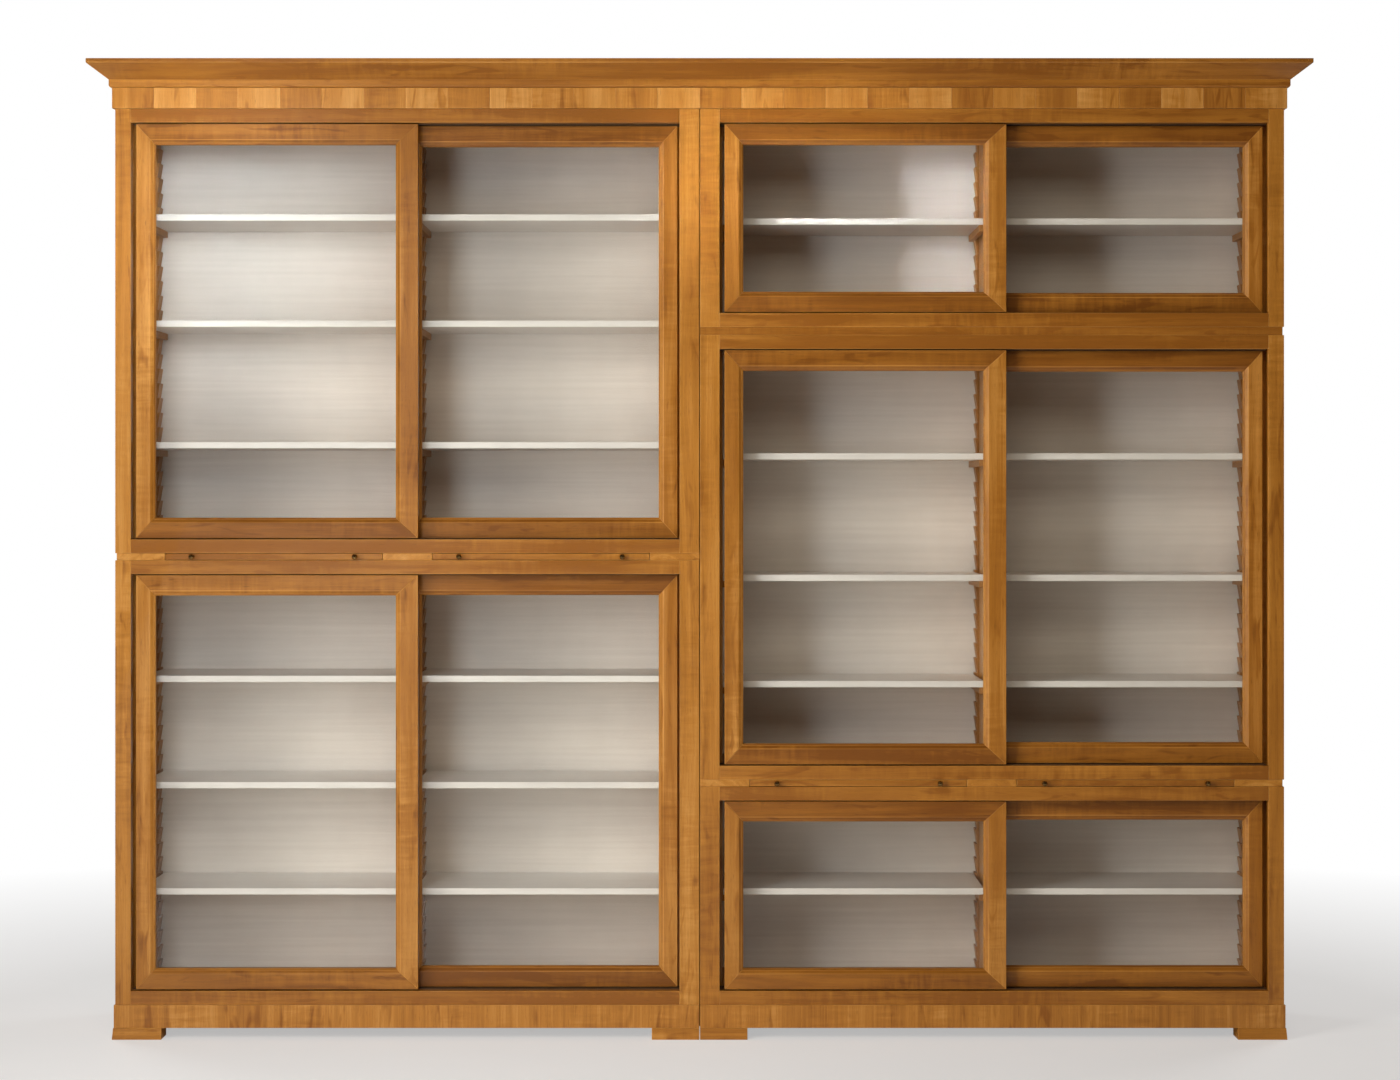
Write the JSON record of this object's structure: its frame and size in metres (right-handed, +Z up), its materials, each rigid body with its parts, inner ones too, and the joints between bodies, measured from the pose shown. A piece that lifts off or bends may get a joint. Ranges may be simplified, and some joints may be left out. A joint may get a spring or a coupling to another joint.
{
  "type": "glass-fronted modular bookcase",
  "caption": "Wide modular wooden bookcase: stacked cases with framed glass doors that slide past each other, adjustable shelves, pull-out reading slides, plinth and cornice.",
  "frame": {"origin": "middle of the bounding box's bottom face: on the floor, under the seam between the two columns", "axes": "+X to the right along the front, +Y from the doors towards the back, +Z up"},
  "size_m": [2.978, 0.439, 2.391],
  "materials": {
    "cherry_wood": "satin lacquer over a honey-coloured stain",
    "door_wood": "satin lacquer over a honey-coloured stain",
    "cross_veneer": "satin lacquer over cross-grained veneer",
    "rack_wood": "thin matt lacquer",
    "white_lacquer": "white satin lacquer",
    "clear_glass": "clear polished",
    "brass": "polished",
    "track_plastic": "moulded, low gloss",
    "zinc_steel": "zinc plated"
  },
  "bodies": {
    "root": {"back_panels": "white_lacquer", "carcass_base_right": "cherry_wood", "carcass_lower_left": "cherry_wood", "carcass_middle_right": "cherry_wood", "carcass_top_right": "cherry_wood", "carcass_upper_left": "cherry_wood", "cornice_bead": "cherry_wood", "cornice_crown": "cherry_wood", "cornice_frieze": "cross_veneer", "cornice_top_boards": "cherry_wood", "door_tracks": "track_plastic", "face_frame_base_right": "cherry_wood", "face_frame_lower_left": "cherry_wood", "face_frame_middle_right": "cherry_wood", "face_frame_top_right": "cherry_wood", "face_frame_upper_left": "cherry_wood", "joining_plates": "zinc_steel", "joining_screws": "zinc_steel", "plinth_feet": "cherry_wood", "plinth_fronts": "cross_veneer", "plinth_returns": "cherry_wood", "rear_rails": "cherry_wood", "shelf_cleats": "rack_wood", "shelf_racks": "rack_wood", "shelves_base_right": "white_lacquer", "shelves_lower_left": "white_lacquer", "shelves_middle_right": "white_lacquer", "shelves_top_right": "white_lacquer", "shelves_upper_left": "white_lacquer", "slide_housing_left": "cherry_wood", "slide_housing_right": "cherry_wood", "spacer_strip": "cherry_wood"},
    "front_door_lower_left": {"front_door_frame_lower_left": "door_wood", "front_door_glass_lower_left": "clear_glass"},
    "rear_door_lower_left": {"rear_door_frame_lower_left": "door_wood", "rear_door_glass_lower_left": "clear_glass"},
    "front_door_upper_left": {"front_door_frame_upper_left": "door_wood", "front_door_glass_upper_left": "clear_glass"},
    "rear_door_upper_left": {"rear_door_frame_upper_left": "door_wood", "rear_door_glass_upper_left": "clear_glass"},
    "front_door_base_right": {"front_door_frame_base_right": "door_wood", "front_door_glass_base_right": "clear_glass"},
    "rear_door_base_right": {"rear_door_frame_base_right": "door_wood", "rear_door_glass_base_right": "clear_glass"},
    "front_door_middle_right": {"front_door_frame_middle_right": "door_wood", "front_door_glass_middle_right": "clear_glass"},
    "rear_door_middle_right": {"rear_door_frame_middle_right": "door_wood", "rear_door_glass_middle_right": "clear_glass"},
    "front_door_top_right": {"front_door_frame_top_right": "door_wood", "front_door_glass_top_right": "clear_glass"},
    "rear_door_top_right": {"rear_door_frame_top_right": "door_wood", "rear_door_glass_top_right": "clear_glass"},
    "reading_slide_left_outer": {"slide_board_left_outer": "cherry_wood", "slide_knobs_left_outer": "brass"},
    "reading_slide_left_inner": {"slide_board_left_inner": "cherry_wood", "slide_knobs_left_inner": "brass"},
    "reading_slide_right_inner": {"slide_board_right_inner": "cherry_wood", "slide_knobs_right_inner": "brass"},
    "reading_slide_right_outer": {"slide_board_right_outer": "cherry_wood", "slide_knobs_right_outer": "brass"}
  },
  "joints": [
    {"name": "front_door_lower_left_slide", "type": "slide", "parent": "root", "child": "front_door_lower_left", "axis": [1, 0, 0], "range_m": [0, 0.635]},
    {"name": "rear_door_lower_left_slide", "type": "slide", "parent": "root", "child": "rear_door_lower_left", "axis": [1, 0, 0], "range_m": [-0.655, 0]},
    {"name": "front_door_upper_left_slide", "type": "slide", "parent": "root", "child": "front_door_upper_left", "axis": [1, 0, 0], "range_m": [0, 0.635]},
    {"name": "rear_door_upper_left_slide", "type": "slide", "parent": "root", "child": "rear_door_upper_left", "axis": [1, 0, 0], "range_m": [-0.655, 0]},
    {"name": "front_door_base_right_slide", "type": "slide", "parent": "root", "child": "front_door_base_right", "axis": [1, 0, 0], "range_m": [0, 0.635]},
    {"name": "rear_door_base_right_slide", "type": "slide", "parent": "root", "child": "rear_door_base_right", "axis": [1, 0, 0], "range_m": [-0.655, 0]},
    {"name": "front_door_middle_right_slide", "type": "slide", "parent": "root", "child": "front_door_middle_right", "axis": [1, 0, 0], "range_m": [0, 0.635]},
    {"name": "rear_door_middle_right_slide", "type": "slide", "parent": "root", "child": "rear_door_middle_right", "axis": [1, 0, 0], "range_m": [-0.655, 0]},
    {"name": "front_door_top_right_slide", "type": "slide", "parent": "root", "child": "front_door_top_right", "axis": [1, 0, 0], "range_m": [0, 0.635]},
    {"name": "rear_door_top_right_slide", "type": "slide", "parent": "root", "child": "rear_door_top_right", "axis": [1, 0, 0], "range_m": [-0.655, 0]},
    {"name": "reading_slide_left_outer_pull", "type": "slide", "parent": "root", "child": "reading_slide_left_outer", "axis": [0, -1, 0], "range_m": [0, 0.24]},
    {"name": "reading_slide_left_inner_pull", "type": "slide", "parent": "root", "child": "reading_slide_left_inner", "axis": [0, -1, 0], "range_m": [0, 0.24]},
    {"name": "reading_slide_right_inner_pull", "type": "slide", "parent": "root", "child": "reading_slide_right_inner", "axis": [0, -1, 0], "range_m": [0, 0.24]},
    {"name": "reading_slide_right_outer_pull", "type": "slide", "parent": "root", "child": "reading_slide_right_outer", "axis": [0, -1, 0], "range_m": [0, 0.24]}
  ]
}
